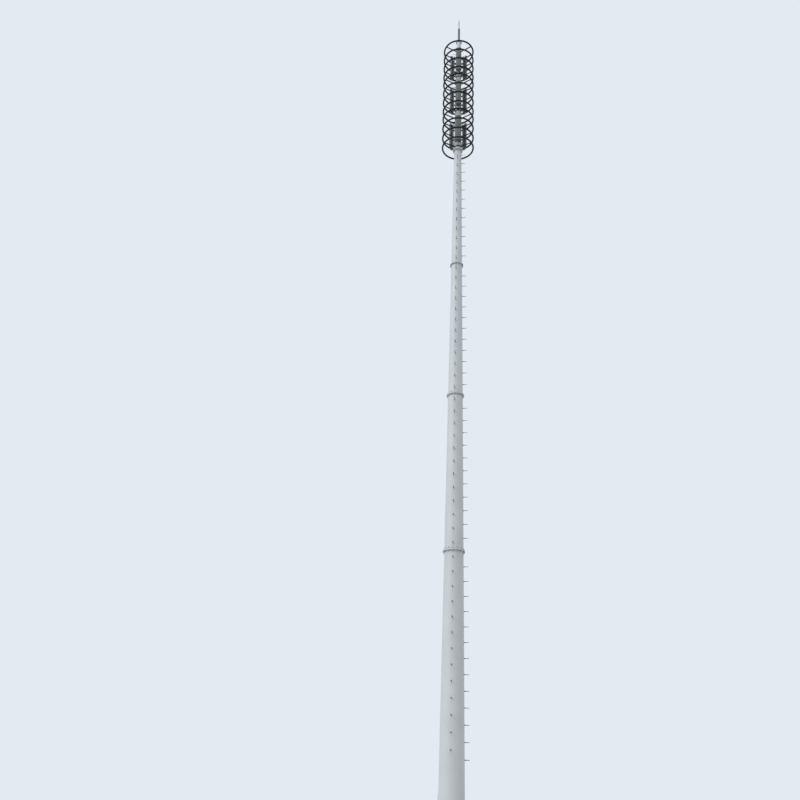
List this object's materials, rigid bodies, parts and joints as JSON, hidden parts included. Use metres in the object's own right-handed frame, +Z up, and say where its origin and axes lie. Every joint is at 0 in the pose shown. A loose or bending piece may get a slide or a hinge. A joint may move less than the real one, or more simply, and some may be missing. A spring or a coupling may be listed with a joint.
{
  "type": "monopole cell tower, 1:2 scale model",
  "caption": "Tapered flanged steel monopole with a hoop cage round its panel antennas, step bolts and a lightning rod, as a 1:2 scale model.",
  "frame": {"origin": "middle of the base flange, on its flat underside", "axes": "+Z up along the shaft; -Y is the front, from which the picture was taken, and +X is to its right, where the pictured row of step bolts stands out"},
  "size_m": [0.8599, 0.86, 21.5005],
  "materials": {
    "shaft_paint": "off-white gloss paint over galvanised steel",
    "cage_paint": "near-black satin paint",
    "galvanised_steel": "hot-dip galvanised, dull spangle",
    "radome": "grey weathered glass-fibre radome"
  },
  "bodies": {
    "root": {"base_flange": "shaft_paint", "base_gussets": "shaft_paint", "shaft_section_1": "shaft_paint", "shaft_section_2": "shaft_paint", "shaft_section_3": "shaft_paint", "shaft_section_4": "shaft_paint", "shaft_section_5": "shaft_paint", "hatch_frame": "shaft_paint", "hatch_cover": "shaft_paint", "step_bolts_right": "galvanised_steel", "step_bolts_front": "galvanised_steel", "step_bolts_cage_left": "galvanised_steel", "hoop_01": "cage_paint", "hoop_02": "cage_paint", "hoop_03": "cage_paint", "hoop_04": "cage_paint", "hoop_05": "cage_paint", "hoop_06": "cage_paint", "hoop_07": "cage_paint", "hoop_08": "cage_paint", "hoop_09": "cage_paint", "hoop_10": "cage_paint", "hoop_11": "cage_paint", "hoop_12": "cage_paint", "hoop_arms_lower": "cage_paint", "hoop_arms_middle": "cage_paint", "hoop_arms_upper": "cage_paint", "collars_lower": "cage_paint", "collars_middle": "cage_paint", "collars_upper": "cage_paint", "antenna_mounts_lower": "galvanised_steel", "antenna_mounts_middle": "galvanised_steel", "antenna_mounts_upper": "galvanised_steel", "antenna_lower_front": "radome", "antenna_lower_right": "radome", "antenna_lower_left": "radome", "antenna_middle_front": "radome", "antenna_middle_right": "radome", "antenna_middle_left": "radome", "antenna_upper_front": "radome", "antenna_upper_right": "radome", "antenna_upper_left": "radome", "pole_cap": "shaft_paint", "lightning_mast": "galvanised_steel", "lightning_rod": "galvanised_steel"}
  },
  "joints": []
}
